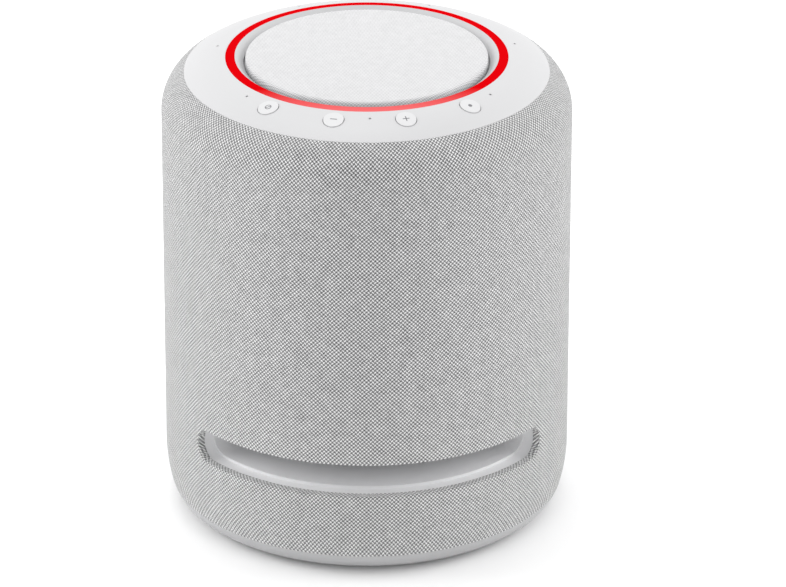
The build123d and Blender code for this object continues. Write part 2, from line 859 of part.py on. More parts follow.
# Silk dome with its coil, formed in one with the narrow roll that carries it.
with BuildPart() as tweeter_dome:
    add(tube(12.6, 14.1, 0.4, 0.8, tweeter_pad))
    add(domed_shell(12.8, 0.8, 5.2, 0.5, tweeter_pad))
    add(tube(12.2, 12.6, -5.5, 0.8, tweeter_pad))
save(tweeter_dome, "tweeter_dome")

# ---------------------------------------------------------------- main electronics
# Main board standing behind the drivers, on four posts of the enclosure.
with BuildPart() as main_board:
    with BuildSketch(Plane.XZ.offset(-main_board_front)):
        with Locations((0, driver_z)):
            RectangleRounded(84, 48, 2)
    extrude(amount=-board_thickness)
save(main_board, "main_board")

# Processor, memory and amplifier packages on the rear face of the board.
chip_height = 1.4
chip_places = [(-14, 8, 16), (8, 8, 12), (-14, -12, 10), (4, -12, 10), (20, -12, 10)]
with BuildPart() as main_board_chips:
    for x, z, width in chip_places:
        with Locations((x, main_board_front + board_thickness, driver_z + z)):
            Box(width, chip_height, width, align=(Align.CENTER, Align.MIN, Align.CENTER))
save(main_board_chips, "main_board_chips")

# Finned aluminium plate pressed on the chips.
fin_count = 9
with BuildPart() as heat_spreader:
    with Locations((0, main_board_front + board_thickness + chip_height, driver_z)):
        Box(62, 2, 44, align=(Align.CENTER, Align.MIN, Align.CENTER))
    with Locations((0, main_board_front + board_thickness + chip_height + 2, driver_z)):
        with GridLocations(7, 1, fin_count, 1):
            Box(1.6, 9, 44, align=(Align.CENTER, Align.MIN, Align.CENTER))
save(heat_spreader, "heat_spreader")

# ---------------------------------------------------------------- top frame and board
upright_inner = 75.3
upright_outer = 77.3
board_inner = 54.5
board_outer = 72.6
board_bottom = top_board_top - board_thickness
board_post_count = 6
led_count = 24
led_circle = (ring_inner + ring_outer) / 2
led_height = 1.6
switch_height = 3.5
stem_bottom = top_board_top + switch_height + button_travel + 0.05

# Lid of the enclosure with the cup of the upward driver and posts for the top board.
with BuildPart() as top_frame:
    with BuildSketch(Plane.XY.offset(frame_bottom)):
        Circle(enclosure_radius)
        with PolarLocations(board_outer - 3.6, 1, start_angle=90):
            Circle(4, mode=Mode.SUBTRACT)
    extrude(amount=frame_top - frame_bottom)
    with Locations(top_pad):
        Cylinder(cup_radius - 1, 10, mode=Mode.SUBTRACT)
    add(pod(top_pad, mid_hole, mid_pad_radius, 0.4, cup_depth, True))
    with BuildSketch(Plane.XY.offset(frame_top)):
        Circle(upright_outer)
        Circle(upright_inner, mode=Mode.SUBTRACT)
        with PolarLocations(board_outer - 3.6, board_post_count, start_angle=15):
            Circle(2.5)
    extrude(amount=board_bottom - frame_top)
save(top_frame, "top_frame")

# Ring-shaped board for the lights, switches and microphones.
with BuildPart() as top_board:
    with BuildSketch(Plane.XY.offset(board_bottom)):
        Circle(board_outer)
        Circle(board_inner, mode=Mode.SUBTRACT)
    extrude(amount=board_thickness)
save(top_board, "top_board")

# Lights of the ring.
with BuildPart() as ring_leds:
    with Locations(Plane.XY.offset(top_board_top)):
        with PolarLocations(led_circle, led_count):
            Box(3.0, 3.0, led_height, align=above)
save(ring_leds, "ring_leds")

# Microphone capsules under their holes.
microphone_azimuths = [360 / microphone_count * number for number in range(microphone_count)]
with BuildPart() as microphones:
    for azimuth in microphone_azimuths:
        with Locations(outward_plane(microphone_circle, azimuth, top_board_top + 0.55)):
            Box(3.8, 1.1, 2.9)
save(microphones, "microphones")

# Push switches under the buttons.
with BuildPart() as tact_switches:
    for azimuth in button_azimuths.values():
        with Locations(outward_plane(button_circle, azimuth, top_board_top + 1.3)):
            Box(6, 2.6, 6)
        with Locations(around(button_circle, azimuth, top_board_top + 2.6)):
            Cylinder(1.7, switch_height - 2.6, align=above)
save(tact_switches, "tact_switches")

# ---------------------------------------------------------------- crown
diffuser_bottom = 197.5
bezel_inner = 52.4
bezel_low = 202.3
bezel_ledge = 200.5
fit_gap = 0.05
lip_width = 1.2
flange_radius = button_radius + 0.9
flange_lift = 0.35
button_hole = button_radius + 0.25
skirt_inner = 73.1
skirt_outer = 75.1
skirt_bottom = 188.0


def crown_ring(inner, outer, top_depth, bottom_depth):
    """Ring of the crown between two radii and two depths below its surface."""
    with BuildPart() as ring:
        with BuildSketch(Plane.XZ):
            with BuildLine():
                middle = (inner + outer) / 2
                top_line = ThreePointArc(
                    (inner, crown_z(inner, top_depth)),
                    (middle, crown_z(middle, top_depth)),
                    (outer, crown_z(outer, top_depth)),
                )
                bottom_line = ThreePointArc(
                    (inner, crown_z(inner, bottom_depth)),
                    (middle, crown_z(middle, bottom_depth)),
                    (outer, crown_z(outer, bottom_depth)),
                )
                Line(top_line @ 0, bottom_line @ 0)
                Line(top_line @ 1, bottom_line @ 1)
            make_face()
        revolve(axis=Axis.Z)
    return ring.part


# Milky ring that spreads the light, flush with the crown.
with BuildPart() as light_diffuser:
    add(crown_ring(ring_inner, ring_outer, 0, crown_z(led_circle) - diffuser_bottom))
save(light_diffuser, "light_diffuser")

# Bezel inside the ring: it slopes down to the grille and carries it on a ledge.
with BuildPart() as inner_bezel:
    add(
        turned(
            [
                (ring_inner - fit_gap, top_board_top),
                (ring_inner - fit_gap, crown_z(ring_inner)),
                (bezel_inner, bezel_low),
                (bezel_inner, bezel_ledge),
                (48.5, bezel_ledge),
                (48.5, bezel_ledge - 1.8),
                (board_inner, bezel_ledge - 1.8),
                (board_inner, top_board_top),
            ]
        )
    )
save(inner_bezel, "inner_bezel")

# Cap: the sloping crown of the drum, pierced for the buttons and the microphones.
with BuildPart() as top_cap:
    with BuildSketch(Plane.XZ):
        with BuildLine():
            cap_inner = ring_outer + fit_gap
            start = polar_point(crown_centre, crown_radius, shoulder_angle)
            middle = (68.6, crown_z(68.6))
            end = (cap_inner, crown_z(cap_inner))
            low_start = polar_point(crown_centre, crown_radius - cap_thickness, shoulder_angle)
            low_middle = (68.6, crown_z(68.6, cap_thickness))
            low_end = (cap_inner + lip_width, crown_z(cap_inner + lip_width, cap_thickness))
            ThreePointArc(start, middle, end)
            lip_bottom = (cap_inner + lip_width, diffuser_bottom)
            Polyline(end, (cap_inner, diffuser_bottom), lip_bottom, low_end)
            ThreePointArc(low_end, low_middle, low_start)
            Line(low_start, start)
        make_face()
    revolve(axis=Axis.Z)
    add(tube(skirt_inner, skirt_outer, skirt_bottom, crown_z(skirt_inner, cap_thickness) + 0.4))
    for azimuth in button_azimuths.values():
        with Locations(around(button_circle, azimuth, diffuser_bottom)):
            Cylinder(button_hole, 12, align=above, mode=Mode.SUBTRACT)
    for azimuth in microphone_azimuths:
        with Locations(around(microphone_circle, azimuth, diffuser_bottom)):
            Cylinder(microphone_hole, 12, align=above, mode=Mode.SUBTRACT)
save(top_cap, "top_cap")

# Buttons: a barrel that follows the crown, a flange that keeps it in and a stem.
for name, azimuth in button_azimuths.items():
    with BuildPart() as button:
        with Locations(around(button_circle, azimuth, stem_bottom + flange_lift)):
            Cylinder(button_radius, 12, align=above)
        add(crown_ring(ring_outer, 74, -button_proud, 9), mode=Mode.INTERSECT)
        with Locations(around(button_circle, azimuth, stem_bottom + flange_lift)):
            Cylinder(flange_radius, 1.2, align=above)
        with Locations(around(button_circle, azimuth, stem_bottom)):
            Cylinder(1.5, 0.6, align=above)
    save(button, name)

# ---------------------------------------------------------------- round grille
grille_wall_bottom = 201.0
plate_radius = grille_radius - fabric_thickness
plate_edge_top = grille_edge_top - fabric_thickness
hole_rings = 5
hole_ring_step = 8.6

# Domed plate under the fabric, pierced for the upward driver.
with BuildPart() as top_grille_plate:
    add(domed_shell(plate_radius, plate_edge_top, height - fabric_thickness, 2.0))
    add(tube(plate_radius - 1.8, plate_radius - 0.1, bezel_ledge, plate_edge_top - 1))
    for ring in range(1, hole_rings + 1):
        with PolarLocations(ring * hole_ring_step, 6 * ring):
            Cylinder(1.6, 2 * height + 10, mode=Mode.SUBTRACT)
save(top_grille_plate, "top_grille_plate")

# Fabric disc drawn over the plate and round its edge.
with BuildPart() as top_grille_fabric:
    add(domed_shell(grille_radius, grille_edge_top, height, fabric_thickness - 0.05))
    add(tube(plate_radius, grille_radius, grille_wall_bottom, grille_edge_top - 0.4))
    fillet(top_grille_fabric.edges().sort_by(Axis.Z)[-2], 0.3)
save(top_grille_fabric, "top_grille_fabric")
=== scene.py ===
from math import cos, hypot, pi, radians, sin, sqrt, tau

import bpy
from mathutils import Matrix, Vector


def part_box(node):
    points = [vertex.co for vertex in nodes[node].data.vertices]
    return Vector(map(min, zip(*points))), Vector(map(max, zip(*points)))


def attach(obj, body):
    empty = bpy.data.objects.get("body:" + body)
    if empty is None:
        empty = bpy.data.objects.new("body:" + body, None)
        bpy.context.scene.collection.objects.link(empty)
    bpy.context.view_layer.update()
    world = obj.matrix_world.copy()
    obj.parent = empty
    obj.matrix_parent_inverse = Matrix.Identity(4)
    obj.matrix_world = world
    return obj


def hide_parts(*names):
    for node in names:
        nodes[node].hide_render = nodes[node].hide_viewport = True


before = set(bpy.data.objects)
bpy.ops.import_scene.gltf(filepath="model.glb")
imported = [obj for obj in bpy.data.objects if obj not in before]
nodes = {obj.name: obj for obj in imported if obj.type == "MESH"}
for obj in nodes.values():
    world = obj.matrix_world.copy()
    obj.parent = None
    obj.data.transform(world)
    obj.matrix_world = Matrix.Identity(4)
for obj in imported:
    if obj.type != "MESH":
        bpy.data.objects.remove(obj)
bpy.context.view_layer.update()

# ------------------------------------------------------------------ camera
# A long lens looks down on the drum from a little above its top edge, so its
# sides stay nearly upright and the crown opens into a shallow ellipse.
aim = Vector((0, 0, 0.0936))
view_turn, view_rise, view_distance = radians(-1.1), radians(25.03), 2.4794
view_direction = Vector(
    (sin(view_turn) * cos(view_rise), -cos(view_turn) * cos(view_rise), sin(view_rise))
)
camera_data = bpy.data.cameras.new("camera")
camera_data.lens, camera_data.sensor_width = 262.7, 36.0
camera_data.shift_x = 0.0333
camera = bpy.data.objects.new("camera", camera_data)
camera.location = aim + view_direction * view_distance
camera.rotation_euler = (-view_direction).to_track_quat("-Z", "Y").to_euler()
bpy.context.collection.objects.link(camera)
bpy.context.scene.camera = camera
bpy.context.scene.view_settings.view_transform = "Standard"


# ------------------------------------------------------------------ the studio
# A white sweep in a white tent: light wraps in from both sides, from behind and
# from above, and the side towards the viewer is the dim one.
class Wire:
    """A node socket that reads as a number, so shader maths is plain expressions."""

    def __init__(self, finish, socket):
        self.finish, self.socket = finish, socket

    def __add__(self, other):
        return self.finish.math("ADD", self, other)

    def __sub__(self, other):
        return self.finish.math("SUBTRACT", self, other)

    def __rsub__(self, other):
        return self.finish.math("SUBTRACT", other, self)

    def __mul__(self, other):
        return self.finish.math("MULTIPLY", self, other)

    def __truediv__(self, other):
        return self.finish.math("DIVIDE", self, other)

    __radd__, __rmul__ = __add__, __mul__


class Finish:
    """A surface finish: a Principled shader and whatever feeds it."""

    def __init__(self, name, colour=(0.8, 0.8, 0.8), roughness=0.5, **fixed):
        self.material = bpy.data.materials.new(name)
        self.material.use_nodes = True
        self.tree = self.material.node_tree
        self.shader = self.tree.nodes["Principled BSDF"]
        self.set("Base Color", (*colour, 1.0))
        self.set("Roughness", roughness)
        for key, value in fixed.items():
            self.set(key.replace("_", " ").title().replace("Ior", "IOR"), value)

    def set(self, name, value):
        """Give the shader's socket a fixed value or a wire."""
        if isinstance(value, Wire):
            self.tree.links.new(value.socket, self.shader.inputs[name])
        else:
            self.shader.inputs[name].default_value = value

    def node(self, kind, settings=None, sockets=None, out=0):
        """Add a node with its settings, then the values or wires of its sockets."""
        made = self.tree.nodes.new("ShaderNode" + kind)
        for key, value in (settings or {}).items():
            if key == "stops":
                for stop, (place, shade) in zip(made.color_ramp.elements, value):
                    stop.position, stop.color = place, shade
            else:
                setattr(made, key, value)
        for key, value in (sockets or {}).items():
            if isinstance(value, Wire):
                self.tree.links.new(value.socket, made.inputs[key])
            else:
                made.inputs[key].default_value = value
        return Wire(self, made.outputs[out])

    def math(self, operation, *values):
        return self.node("Math", {"operation": operation}, dict(enumerate(values)))

    def place(self):
        """X, Y and Z of the surface point, in metres."""
        spot = self.node("TexCoord", out=3)
        return [self.node("SeparateXYZ", sockets={0: spot}, out=axis) for axis in range(3)]

    def noise(self, size, detail=2.0, roughness=0.5):
        """Soft random values, their blotches about the given size in metres."""
        spot = self.node("TexCoord", out=3)
        sockets = {"Vector": spot, "Scale": 1 / size, "Detail": detail, "Roughness": roughness}
        return self.node("TexNoise", sockets=sockets)

    def mix(self, share, first, second):
        """Blend two colours, each a triple or a wire."""
        sides = [c if isinstance(c, Wire) else (*c, 1.0) for c in (first, second)]
        settings = {"data_type": "RGBA"}
        return self.node("Mix", settings, {0: share, 6: sides[0], 7: sides[1]}, out=2)

    def bump(self, height, depth):
        """Relief from a height between 0 and 1 that stands for a depth in metres."""
        normal = self.node("Bump", sockets={"Strength": 1.0, "Distance": depth, "Height": height})
        self.set("Normal", normal)

    def cover(self, *names):
        """Put this finish on CAD nodes."""
        for name in names:
            data = nodes[name].data
            data.materials.clear()
            data.materials.append(self.material)


def mesh_object(name, points, faces, finish, smooth=True):
    """A mesh from points and faces, with its finish."""
    data = bpy.data.meshes.new(name)
    data.from_pydata([tuple(p) for p in points], [], faces)
    data.validate()
    data.polygons.foreach_set("use_smooth", [smooth] * len(data.polygons))
    data.materials.append(finish.material)
    made = bpy.data.objects.new(name, data)
    bpy.context.collection.objects.link(made)
    return made


paper_sweep = Finish("paper_sweep", (0.93, 0.93, 0.93), 0.95, specular_ior_level=0.1)
paper_sweep.set("Base Color", paper_sweep.mix(paper_sweep.noise(0.4), (0.92,) * 3, (0.94,) * 3))
reach = 5.0
corners = [(-reach, -reach, 0), (reach, -reach, 0), (reach, reach, 0), (-reach, reach, 0)]
floor = mesh_object("floor", corners, [(0, 1, 2, 3)], paper_sweep, smooth=False)

tent = bpy.data.worlds.new("tent")
bpy.context.scene.world = tent
tent.use_nodes = True
tent_tree = tent.node_tree
heading, split, spread, ramp = (
    tent_tree.nodes.new("ShaderNode" + kind)
    for kind in ("TexCoord", "SeparateXYZ", "MapRange", "ValToRGB")
)
backdrop = tent_tree.nodes["Background"]
spread.inputs[1].default_value, spread.inputs[2].default_value = -1.0, 1.0
for stop, (place, grey) in zip(ramp.color_ramp.elements, ((0.05, 0.90), (0.62, 1.0))):
    stop.position, stop.color = place, (grey, grey, grey, 1.0)
backdrop.inputs[1].default_value = 1.08
tent_tree.links.new(heading.outputs["Generated"], split.inputs[0])
tent_tree.links.new(split.outputs[1], spread.inputs[0])
tent_tree.links.new(spread.outputs[0], ramp.inputs[0])
tent_tree.links.new(ramp.outputs[0], backdrop.inputs[0])


def soft_box(name, place, size, power):
    """A round soft light that faces the middle of the drum."""
    data = bpy.data.lights.new(name, "AREA")
    data.shape, data.size, data.energy = "DISK", size, power
    lamp = bpy.data.objects.new(name, data)
    lamp.location = place
    lamp.rotation_euler = (aim - Vector(place)).to_track_quat("-Z", "Y").to_euler()
    bpy.context.collection.objects.link(lamp)


soft_box("light_left", (-1.7, 0.25, 0.8), 1.2, 16.0)
soft_box("light_right", (1.7, 0.25, 0.8), 1.2, 15.0)
soft_box("light_top", (-0.2, 0.5, 2.2), 1.2, 8.0)


# ------------------------------------------------------------------ base
# A moulded dish closes the drum below. It is held by four screws that the rubber
# foot ring hides, and a brass insert in its middle takes a stand.
def moulded(name, colour, roughness, grain=0.0006, depth=0.000012, shift=0.03):
    """Satin moulded plastic: a fine spark texture, and colour that wanders very slightly."""
    finish = Finish(name, colour, roughness)
    wander = finish.noise(0.05)
    darker = tuple(c * (1 - shift) for c in colour)
    finish.set("Base Color", finish.mix(wander, darker, colour))
    spark = finish.noise(grain, detail=3.0)
    finish.set("Roughness", spark * 0.12 + (roughness - 0.06))
    finish.bump(spark, depth)
    return finish


white_plastic = moulded("white_plastic", (0.80, 0.80, 0.81), 0.42)
grey_plastic = moulded("grey_plastic", (0.86, 0.86, 0.87), 0.46)
foot_rubber = moulded("foot_rubber", (0.50, 0.50, 0.505), 0.75, grain=0.0009, depth=0.00004)
base_white = moulded("base_white", (0.43, 0.43, 0.437), 0.45)
base_white.cover("base_plate")
foot_rubber.cover("foot_ring")


def machined(name, colour, roughness, pitch=0.0002, depth=0.000006):
    """Turned or rolled metal: fine rings round the vertical, with a little staining."""
    finish = Finish(name, colour, roughness, metallic=1.0)
    x, y, z = finish.place()
    round_cut = finish.math("SINE", finish.math("SQRT", x * x + y * y) * (tau / pitch))
    stain = finish.noise(0.004, detail=4.0)
    finish.set("Base Color", finish.mix(stain, tuple(c * 0.82 for c in colour), colour))
    finish.set("Roughness", stain * 0.2 + (roughness - 0.1))
    finish.bump(round_cut * 0.5 + 0.5, depth)
    return finish


brass = machined("turned_brass", (0.72, 0.52, 0.22), 0.32)
zinc_steel = machined("zinc_steel", (0.60, 0.60, 0.61), 0.36)
brass.cover("stand_insert")
zinc_steel.cover("base_screws")

# ------------------------------------------------------------------ service panel
# A shallow tray in a window of the sleeve holds the mains inlet with its two round
# pins, an audio socket and a small service port, all behind the drum.
socket_plastic = moulded("socket_plastic", (0.025, 0.025, 0.027), 0.40)
nickel = machined("bright_nickel", (0.74, 0.73, 0.70), 0.18)
grey_plastic.cover("port_panel")
socket_plastic.cover("mains_inlet", "audio_jack")
nickel.cover("inlet_pins", "usb_port")

# ------------------------------------------------------------------ bass passage and shells
# The duct is one smooth moulding: a floor with a low mound, side cheeks and two
# wide mouths. The shells above and below it carry the sleeve.
grey_plastic.cover("aperture_duct", "duct_collar")
white_plastic.cover("grille_shell_lower", "grille_shell_upper")

# ------------------------------------------------------------------ sleeve
# One tube of woven polyester is stretched over both shells on the bias, turned in
# round the edges of the bass mouths and heat-sealed at both seams.
drum_low, drum_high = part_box("fabric_sleeve")
drum_radius = drum_high.x
seam_base = drum_low.z
foot_arc, foot_arc_top = 0.07225, 0.0279
shoulder_arc, shoulder_bottom, shoulder_end = 0.02052, 0.18103, radians(58.48)
mouth_low, mouth_high, mouth_end = 0.0395, 0.0540, radians(51.95)
mouth_half, mouth_middle = (mouth_high - mouth_low) / 2, (mouth_high + mouth_low) / 2
hem_depth, hem_roll = 0.0033, 0.0008
threads_round, thread_rise = 306, 0.0017967


def weave(finish, across, along):
    """Height of a plain weave whose threads are one unit apart both ways."""
    column, row = finish.math("FLOOR", across), finish.math("FLOOR", along)
    parity = finish.math("MODULO", finish.math("ABSOLUTE", column + row), 2.0)
    side = 1 - parity * 2
    in_column, in_row = across - column - 0.5, along - row - 0.5
    warp_round = finish.math("COSINE", in_column * (pi * 0.94))
    weft_round = finish.math("COSINE", in_row * (pi * 0.94))
    warp = warp_round * (0.64 + side * weft_round * 0.36)
    weft = weft_round * (0.64 - side * warp_round * 0.36)
    height = finish.math("MAXIMUM", warp, weft)
    fibres = finish.math("SINE", (in_column * weft_round + in_row * 3.1) * 14.0) * 0.03
    return height + fibres


def cloth(finish, across, along, dark, mid, light, depth):
    """Give a finish the colour and relief of woven cloth from its two thread coordinates, with painted
    shade in the hollows between threads and painted highlight on the thread crowns.
    """
    height = weave(finish, across, along)
    slub = finish.noise(0.0035, detail=3.0)
    lift = height + (slub - 0.5) * 0.22
    # Painted shade and highlight: the colour runs from dark in the hollows to light on the thread crowns,
    # by weave height.
    stops = [(0.18, (*dark, 1)), (0.62, (*mid, 1))]
    low = finish.node("ValToRGB", {"stops": stops}, {0: lift})
    crown_highlight = finish.node("MapRange", sockets={0: lift, 1: 0.62, 2: 1.0, 3: 0.0, 4: 1.0})
    finish.set("Base Color", finish.mix(crown_highlight, low, light))
    finish.set("Roughness", 0.98 - height * 0.18)
    finish.bump(height + (finish.noise(0.00022) - 0.5) * 0.35, depth)


sleeve_cloth = Finish("sleeve_cloth", sheen_weight=0.9, sheen_roughness=0.4, specular_ior_level=0.2)
x, y, z = sleeve_cloth.place()
away = sleeve_cloth.math("SQRT", x * x + y * y)
turn = sleeve_cloth.math("ARCTAN2", x, 0 - y) * (threads_round / tau)
over = sleeve_cloth.math("MAXIMUM", z - shoulder_bottom, 0.0)
bend = sleeve_cloth.math("ARCTAN2", over, away - (drum_radius - shoulder_arc)) * shoulder_arc
upright = sleeve_cloth.math("LESS_THAN", z, shoulder_bottom)
climb = sleeve_cloth.math("MINIMUM", z, shoulder_bottom) + bend + upright * (drum_radius - away)
climb = climb * (1 / thread_rise)
# The sleeve's near-black hollows are painted shade and its white thread crowns painted highlight.
cloth(
    sleeve_cloth, turn + climb, turn - climb + 1000,
    dark=(0.012, 0.012, 0.013), mid=(0.36, 0.36, 0.368), light=(1.0, 1.0, 1.0), depth=0.0008,
)


def mouth_distance(arc, z):
    """Distance from a bass mouth's edge, along the wall, negative inside the mouth."""
    end = mouth_end * drum_radius
    return hypot(max(abs(arc) - end, 0.0), z - mouth_middle) - mouth_half


panel_low, panel_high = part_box("port_panel")
panel_half = ((panel_high.x - panel_low.x) / 2, (panel_high.z - panel_low.z) / 2)
panel_middle = (panel_high.z + panel_low.z) / 2


def window_distance(arc, z):
    """Distance from the edge of the service window, which is cut straight from behind."""
    corner = 0.005
    out_x = abs(drum_radius * sin(arc / drum_radius)) - (panel_half[0] + 0.0001 - corner)
    out_z = abs(z - panel_middle) - (panel_half[1] + 0.0001 - corner)
    return hypot(max(out_x, 0), max(out_z, 0)) + min(max(out_x, out_z), 0) - corner


def cut_distance(turn, z):
    """Signed distance of a wall point from the nearest cut edge."""
    front = mouth_distance(turn * drum_radius, z)
    behind_arc = (turn - pi if turn > 0 else turn + pi) * drum_radius
    rear = mouth_distance(behind_arc, z)
    away = window_distance(behind_arc, z) if abs(behind_arc) < 0.06 else 1.0
    return min(front - hem_roll, rear - hem_roll, away - hem_roll * 0.6)


def wall_point(turn, z, depth=0.0):
    """Point of the drum's wall at a turn from the front and a height."""
    if z < foot_arc_top:
        arc = foot_arc - depth
        radius = drum_radius - foot_arc + sqrt(max(arc**2 - (foot_arc_top - z) ** 2, 0))
    else:
        radius = drum_radius - depth
    return Vector((radius * sin(turn), -radius * cos(turn), z))


columns = 720
fine_rows = int((shoulder_bottom - seam_base) / 0.00105)
heights = [seam_base + (shoulder_bottom - seam_base) * k / fine_rows for k in range(fine_rows + 1)]
column_step = tau / columns


def slope(turn, z):
    """Direction, in turn and height, in which the cut distance grows."""
    small = 1e-5
    by_turn = cut_distance(turn + small / drum_radius, z) - cut_distance(turn - small / drum_radius, z)
    by_height = cut_distance(turn, z + small) - cut_distance(turn, z - small)
    length = hypot(by_turn, by_height) or 1.0
    return by_turn / length, by_height / length


def slide(turn, z, distance):
    """Move a wall point away from the nearest cut edge."""
    by_turn, by_height = slope(turn, z)
    return turn + by_turn * distance / drum_radius, z + by_height * distance


grid = [[(-pi + c * column_step, z) for c in range(columns)] for z in heights]
reading = [[cut_distance(*spot) for spot in row] for row in grid]
state = [[0 if d < 0 else 2 for d in row] for row in reading]
for r, row in enumerate(grid):
    if not (mouth_low - 0.004 < row[0][1] < mouth_high + 0.004 or row[0][1] < 0.036):
        continue
    for c in range(columns):
        own = reading[r][c]
        near = [(r, (c + 1) % columns), (r, c - 1), (r + 1, c), (r - 1, c)]
        for nr, nc in near:
            if 0 <= nr < len(grid) and own * reading[nr][nc] < 0 and abs(own) <= abs(reading[nr][nc]):
                state[r][c] = 1
for r, row in enumerate(grid):
    for c in range(columns):
        if state[r][c] == 1:
            for _ in range(3):
                turn_now, z_now = row[c]
                row[c] = slide(turn_now, z_now, -cut_distance(turn_now, z_now))

points, faces, number = [], [], {}


def corner_of(r, c):
    """Number of the grid's point, made when first asked for."""
    key = (r, c % columns)
    if key not in number:
        number[key] = len(points)
        points.append(wall_point(*grid[r][c % columns]))
    return number[key]


for r in range(len(grid) - 1):
    for c in range(columns):
        ring = [(r, c), (r, c + 1), (r + 1, c + 1), (r + 1, c)]
        kept = [(a, b) for a, b in ring if state[a][b % columns] > 0]
        if len(kept) < 3:
            continue
        if all(state[a][b % columns] == 1 for a, b in kept):
            middle_turn = sum(grid[a][b % columns][0] for a, b in kept) / len(kept)
            middle_z = sum(grid[a][b % columns][1] for a, b in kept) / len(kept)
            if cut_distance(middle_turn, middle_z) < 0:
                continue
        faces.append([corner_of(a, b) for a, b in kept])

# Edges that only one face uses, below the shoulder and above the base, are the cut edges.
used = {}
for face in faces:
    for a, b in zip(face, face[1:] + face[:1]):
        used.setdefault(frozenset((a, b)), []).append((a, b))
spot_of = {n: grid[r][c] for (r, c), n in number.items()}
rim = [
    pair[0]
    for pair in used.values()
    if len(pair) == 1 and all(seam_base + 1e-5 < points[n].z < shoulder_bottom - 1e-5 for n in pair[0])
]
hem_rows = {}
hem_places = [(hem_roll * (1 - sin(k * pi / 10)), hem_roll * (1 - cos(k * pi / 10))) for k in range(1, 6)]
hem_places += [(0.0, hem_roll + (hem_depth - hem_roll) * k / 4) for k in range(1, 5)]
for edge in rim:
    for n in edge:
        if n not in hem_rows:
            hem_rows[n] = [n]
            for inset, depth in hem_places:
                turn_now, z_now = slide(*spot_of[n], inset - hem_roll)
                hem_rows[n].append(len(points))
                points.append(wall_point(turn_now, z_now, depth))
    a, b = hem_rows[edge[0]], hem_rows[edge[1]]
    for k in range(len(hem_places)):
        faces.append([b[k], a[k], a[k + 1], b[k + 1]])

# The shoulder, rolled in at the cap seam.
shoulder_rows = [shoulder_end * k / 18 for k in range(1, 19)]
shoulder_places = [
    (drum_radius - shoulder_arc + shoulder_arc * cos(a), shoulder_bottom + shoulder_arc * sin(a))
    for a in shoulder_rows
]
tip = shoulder_places[-1]
for k in range(1, 5):
    curl = shoulder_end + k * pi / 8
    lift = 0.0004
    centre = (tip[0] - lift * cos(shoulder_end), tip[1] - lift * sin(shoulder_end))
    shoulder_places.append((centre[0] + lift * cos(curl), centre[1] + lift * sin(curl)))
last = [corner_of(len(grid) - 1, c) for c in range(columns)]
for radius, z in shoulder_places:
    row = []
    for c in range(columns):
        turn_now = -pi + c * column_step
        row.append(len(points))
        points.append(Vector((radius * sin(turn_now), -radius * cos(turn_now), z)))
    for c in range(columns):
        faces.append([last[c], last[(c + 1) % columns], row[(c + 1) % columns], row[c]])
    last = row
sleeve = mesh_object("sleeve_weave", points, faces, sleeve_cloth)
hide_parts("fabric_sleeve")
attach(sleeve, "housing")
girth = tau * drum_radius
rise = 0.1925
mouth_area = 4 * mouth_end * drum_radius * mouth_half + pi * mouth_half**2
mouth_edge = 4 * mouth_end * drum_radius + tau * mouth_half
window_area = 4 * panel_half[0] * panel_half[1]
window_edge = 4 * (panel_half[0] + panel_half[1])
pattern_area = girth * rise - 2 * mouth_area - window_area
pattern_area += (2 * mouth_edge + window_edge) * hem_depth

# ------------------------------------------------------------------ inside
# A sealed tub with a down-firing woofer, three small midrange units, a tweeter,
# the boards and the mains supply. None of it shows through the cloth.
tub_plastic = moulded("tub_plastic", (0.05, 0.05, 0.055), 0.55)
tub_plastic.cover("top_frame", "tweeter_faceplate")
white_plastic.cover("main_enclosure")
ferrite = moulded("sintered_ferrite", (0.055, 0.055, 0.06), 0.6, grain=0.0015, depth=0.00005)
rubber = moulded("soft_rubber", (0.03, 0.03, 0.032), 0.5)
pulp = moulded("pressed_pulp", (0.06, 0.06, 0.065), 0.85, grain=0.0011, depth=0.00012)
silk = moulded("coated_silk", (0.09, 0.09, 0.10), 0.6, grain=0.0004, depth=0.00005)
spider_cloth = moulded("resin_cloth", (0.55, 0.38, 0.14), 0.8, grain=0.0007, depth=0.0001)
copper = machined("lacquered_copper", (0.70, 0.32, 0.16), 0.3)
aluminium = machined("extruded_aluminium", (0.70, 0.71, 0.72), 0.35)
mask_green = moulded("solder_mask", (0.02, 0.15, 0.06), 0.3, shift=0.25)
package_black = moulded("package_black", (0.03, 0.03, 0.034), 0.6)
shrink_sleeve = moulded("shrink_sleeve", (0.04, 0.06, 0.15), 0.3)
yellow_tape = moulded("yellow_tape", (0.70, 0.52, 0.10), 0.35)
lens = moulded("clear_lens", (0.92, 0.92, 0.86), 0.2)
places = ("left", "right", "top")
zinc_steel.cover(
    "woofer_basket", "woofer_screws", "woofer_top_plate", "woofer_pole_piece",
    *[f"{place}_mid_basket" for place in places],
)
ferrite.cover("woofer_magnet", "tweeter_magnet", *[f"{place}_mid_magnet" for place in places])
rubber.cover("woofer_surround", *[f"{place}_mid_surround" for place in places])
pulp.cover("woofer_cone", "woofer_dust_cap", *[f"{place}_mid_cone" for place in places])
silk.cover("tweeter_dome")
spider_cloth.cover("woofer_spider")
copper.cover("woofer_voice_coil")
aluminium.cover("heat_spreader")
mask_green.cover("power_board", "main_board", "top_board")
package_black.cover("main_board_chips", "tact_switches")
shrink_sleeve.cover("power_capacitors")
yellow_tape.cover("power_transformer")
nickel.cover("microphones")
lens.cover("ring_leds")
